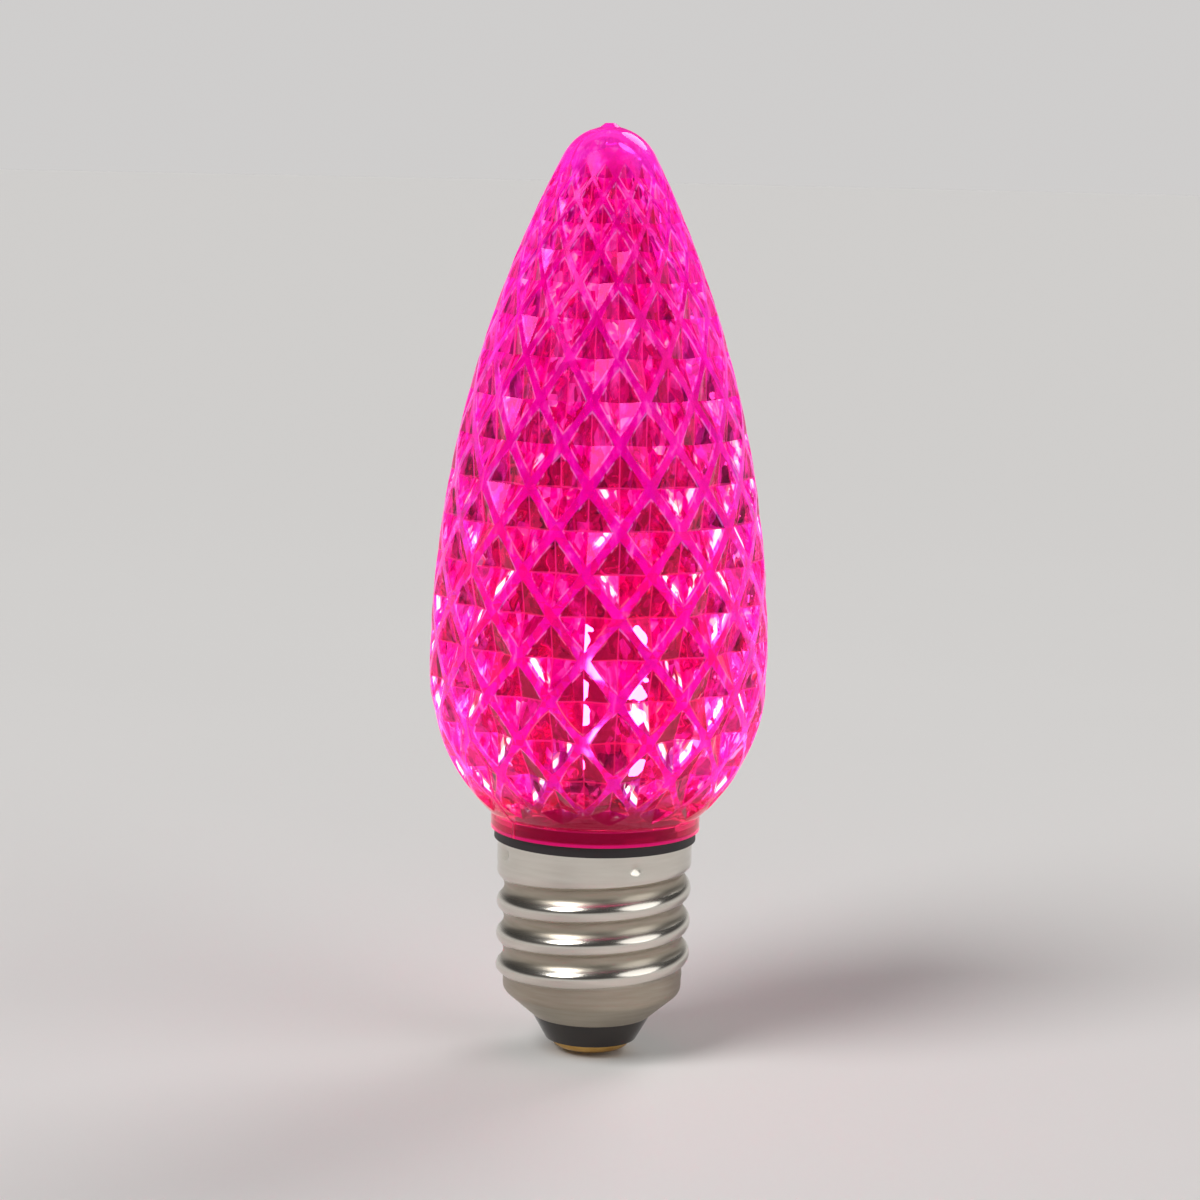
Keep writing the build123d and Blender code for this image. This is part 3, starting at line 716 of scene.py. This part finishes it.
# %% Nickel finish
LINE_LENGTH, LINE_SQUEEZE, LINE_SHARE = 4 * MM, 12, 0.5
nickel, tree, shader, place = new_finish("nickel_plated_brass_rolled")
flat = add(tree, "VectorMath", TIMES, {0: place, 1: (1, 1, 0)})
radius = add(tree, "VectorMath", LENGTH, {0: flat}).outputs["Value"]
rubbed = add(tree, "MapRange", SMOOTH, {"Value": radius, "From Min": root_r, "From Max": SHELL_R})
squeezed = add(tree, "Mapping", {}, {"Vector": place, "Scale": (1, 1, LINE_SQUEEZE)})
lines = add(tree, "TexNoise", {}, {"Vector": squeezed, "Scale": 1 / LINE_LENGTH, "Detail": 4})
worn = add(tree, "Math", TIMES_PLUS, {0: lines, 1: LINE_SHARE, 2: rubbed})
bright = add(tree, "MapRange", {}, {"Value": worn, "From Min": 0.15, "From Max": 1.4})
colour = add(tree, "MixRGB", {}, {"Fac": bright, "Color1": "#A69C8C", "Color2": "#E2DDD4"})
dull = add(tree, "MapRange", {},
           {"Value": worn, "From Min": 0.1, "From Max": 1.3, "To Min": 0.42, "To Max": 0.16})
feed(shader, {"Base Color": colour, "Roughness": dull, "Metallic": 1.0})
threaded_shell.data.materials.append(nickel)
print(nickel.name, "on", threaded_shell.name)

# %% [markdown]
# A hair of air lies between the plug and the neck of the lens, as between any two mouldings that are pushed
# together. The CAD solids share that face, and clear plastic would show it as a row of dashes. So the plug is
# copied, and the part of it inside the collar is drawn in and lowered by a hair. The slot for the board in
# its middle stays.

# %% Plug with its clearance
NECK_AIR, COLLAR_FOOT, SLOT_REACH = 0.05 * MM, 0.1 * MM, 6.0 * MM
bm = bmesh.new()
bm.from_mesh(nodes["base_plug"].data)
bmesh.ops.remove_doubles(bm, verts=bm.verts, dist=MERGE)
fitted = [v for v in bm.verts if v.co.z > COLLAR_FOOT and v.co.xy.length > SLOT_REACH]
for v in fitted:
    v.co -= NECK_AIR * Vector((v.co.x, v.co.y, 0)).normalized()
    v.co.z -= NECK_AIR
print("plug:", len(fitted), "of", len(bm.verts), "vertices drawn in")
fitted_plug = new_piece("fitted_plug", bm)
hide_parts("base_plug")

# %% [markdown]
# The plug is ABS, moulded in black with a fine eroded texture from the mould. Its top shows as a dark shape
# through the foot of the lens. Sparks cut that texture in pits of a tenth of a millimetre; here they are
# drawn two and a half times as coarse, so that they still show.

# %% Plug finish
PIT_SIZE, PIT_DEPTH = 0.25 * MM, 0.02 * MM
black_abs, tree, shader, place = new_finish("black_abs_spark_eroded")
pits = add(tree, "TexNoise", {}, {"Vector": place, "Scale": 1 / PIT_SIZE, "Detail": 2})
colour = add(tree, "MixRGB", {}, {"Fac": pits, "Color1": "#141013", "Color2": "#241C20"})
dull = add(tree, "MapRange", {}, {"Value": pits, "To Min": 0.42, "To Max": 0.6})
pitted = add(tree, "Bump", {}, {"Height": pits, "Strength": 0.3, "Distance": PIT_DEPTH})
feed(shader, {"Base Color": colour, "Roughness": dull, "Normal": pitted})
fitted_plug.data.materials.append(black_abs)
print(black_abs.name, "on", fitted_plug.name)

# %% [markdown]
# The insulator in the foot of the shell is a hard black phenolic, pressed hot. It comes out glossy, with
# faint brown clouds where the powder flowed.

# %% Insulator finish
FLOW_SIZE = 1.6 * MM
phenolic, tree, shader, place = new_finish("black_phenolic_pressed")
flow = add(tree, "TexNoise", {}, {"Vector": place, "Scale": 1 / FLOW_SIZE, "Detail": 5, "Distortion": 1.2})
colour = add(tree, "MixRGB", {}, {"Fac": flow, "Color1": "#0E0C0B", "Color2": "#2A1E18"})
dull = add(tree, "MapRange", {}, {"Value": flow, "To Min": 0.1, "To Max": 0.26})
feed(shader, {"Base Color": colour, "Roughness": dull})
dress(phenolic, "contact_insulator")

# %% [markdown]
# The contact button is brass, pressed from strip and turned on its face, so fine rings run round its middle.
# Handling leaves darker stains on it, a millimetre or two across. A Wave texture of scale 1 repeats every
# pi / 10, so that number turns the spacing of the rings into a scale. Real rings are finer, and these are as
# coarse as they need to be to show.

# %% Contact finish
WAVE_REPEAT = math.pi / 10
RING_GAP, RING_DEPTH, STAIN_SIZE = 0.754 * MM, 0.02 * MM, 1.5 * MM
brass, tree, shader, place = new_finish("brass_turned")
ring = add(tree, "TexWave", {"wave_type": "RINGS", "rings_direction": "Z"},
           {"Vector": place, "Scale": WAVE_REPEAT / RING_GAP, "Distortion": 1.5, "Detail": 2}).outputs["Fac"]
stain = add(tree, "TexNoise", {}, {"Vector": place, "Scale": 1 / STAIN_SIZE, "Detail": 4})
colour = add(tree, "MixRGB", {}, {"Fac": stain, "Color1": "#B88A45", "Color2": "#DDB873"})
dull = add(tree, "MapRange", {}, {"Value": ring, "To Min": 0.22, "To Max": 0.38})
grooved = add(tree, "Bump", {}, {"Height": ring, "Strength": 0.15, "Distance": RING_DEPTH})
feed(shader, {"Base Color": colour, "Roughness": dull, "Normal": grooved, "Metallic": 1.0})
dress(brass, "centre_contact")

# %% [markdown]
# The dab of solder on the button froze quickly: it is grey, a little grainy and brighter in patches. The
# cells of a Voronoi pattern look like grains that froze from many points at once.

# %% Solder finish
GRAIN_SIZE, GRAIN_DEPTH = 0.3 * MM, 0.03 * MM
solder, tree, shader, place = new_finish("tin_solder_frozen")
grain = add(tree, "TexVoronoi", {}, {"Vector": place, "Scale": 1 / GRAIN_SIZE})
colour = add(tree, "MixRGB", {}, {"Fac": grain, "Color1": "#8E8E8C", "Color2": "#C4C4C2"})
dull = add(tree, "MapRange", {}, {"Value": grain, "To Min": 0.28, "To Max": 0.5})
grainy = add(tree, "Bump", {}, {"Height": grain, "Strength": 0.3, "Distance": GRAIN_DEPTH})
feed(shader, {"Base Color": colour, "Roughness": dull, "Normal": grainy, "Metallic": 1.0})
dress(solder, "contact_solder")

# %% [markdown]
# The board is glass cloth in epoxy under a white mask, which throws the light of the lamps outwards. Tracks
# of copper under the mask show as faint bands that run up the board, so the pattern is turned with the board
# by a Mapping node.

# %% Board finish
BOARD_TURN, TRACK_GAP = math.radians(20), 3.14 * MM
laminate, tree, shader, place = new_finish("glass_epoxy_board_white_mask")
along = add(tree, "Mapping", {"vector_type": "TEXTURE"}, {"Vector": place, "Rotation": (0, 0, BOARD_TURN)})
track = add(tree, "TexWave", {"wave_type": "BANDS", "bands_direction": "X"},
            {"Vector": along, "Scale": WAVE_REPEAT / TRACK_GAP, "Distortion": 0.0}).outputs["Fac"]
edge = add(tree, "MapRange", SMOOTH, {"Value": track, "From Min": 0.45, "From Max": 0.55})
colour = add(tree, "MixRGB", {}, {"Fac": edge, "Color1": "#DAD8D0", "Color2": "#E8E6DE"})
feed(shader, {"Base Color": colour, "Roughness": 0.3})
dress(laminate, "circuit_board")

# %% [markdown]
# Each lamp has a housing of white polyamide, filled with glass fibre that shows as a faint mottle. It is
# matt, so it throws light evenly.

# %% Housings of the lamps
FIBRE_SIZE = 0.3 * MM
white_housing, tree, shader, place = new_finish("white_polyamide_moulded")
fibre = add(tree, "TexNoise", {}, {"Vector": place, "Scale": 1 / FIBRE_SIZE, "Detail": 3})
colour = add(tree, "MixRGB", {}, {"Fac": fibre, "Color1": "#E6E0D4", "Color2": "#F2EEE6"})
feed(shader, {"Base Color": colour, "Roughness": 0.45})
lamp_names = [side + "_" + row + "_led" for side in ("front", "back") for row in ("upper", "lower")]
dress(white_housing, *lamp_names)

# %% [markdown]
# The cup of each housing is filled with a gel that holds specks of phosphor. Lit, it is a warm white and the
# brightest thing in the bulb, and the light that the lens breaks up comes from it.

# %% Gel of the lamps
SPECK_SIZE, LAMP_STRENGTH = 0.4 * MM, 110.0
lit_gel, tree, shader, place = new_finish("phosphor_gel_lit")
speck = add(tree, "TexNoise", {}, {"Vector": place, "Scale": 1 / SPECK_SIZE, "Detail": 2})
colour = add(tree, "MixRGB", {}, {"Fac": speck, "Color1": "#FFE2C0", "Color2": "#FFF4EA"})
feed(shader, {"Base Color": colour, "Roughness": 0.2, "Emission Color": colour,
              "Emission Strength": LAMP_STRENGTH})
dress(lit_gel, *[name + "_gel" for name in lamp_names])

# %% [markdown]
# The supply parts sit inside the plug and never show, so they are finished plainly, but as what they are:
# a rectifier in black epoxy, a capacitor in a shrunk sleeve, a lacquered resistor and tinned wire.

# %% Finishes of the supply parts
def plain_finish(name, names, dark, pale, size, roughness, metal=0.0):
    """A finish of two near tones in soft patches of one size."""
    finish, tree, shader, place = new_finish(name)
    patches = add(tree, "TexNoise", {}, {"Vector": place, "Scale": 1 / size, "Detail": 3})
    colour = add(tree, "MixRGB", {}, {"Fac": patches, "Color1": dark, "Color2": pale})
    feed(shader, {"Base Color": colour, "Roughness": roughness, "Metallic": metal})
    dress(finish, *names)


plain_finish("black_epoxy_moulded", ["bridge_rectifier"],
             "#151516", "#222224", size=0.4 * MM, roughness=0.5)
plain_finish("blue_sleeve_shrunk", ["smoothing_capacitor"],
             "#232A4C", "#2C3560", size=2 * MM, roughness=0.3)
plain_finish("resistor_lacquer_dipped", ["dropper_resistor"],
             "#8FA6AE", "#A5B8BE", size=1 * MM, roughness=0.25)
plain_finish("tinned_copper_drawn", ["centre_wire", "shell_wire"],
             "#B4B2AE", "#D2D0CC", size=0.8 * MM, roughness=0.3, metal=1.0)
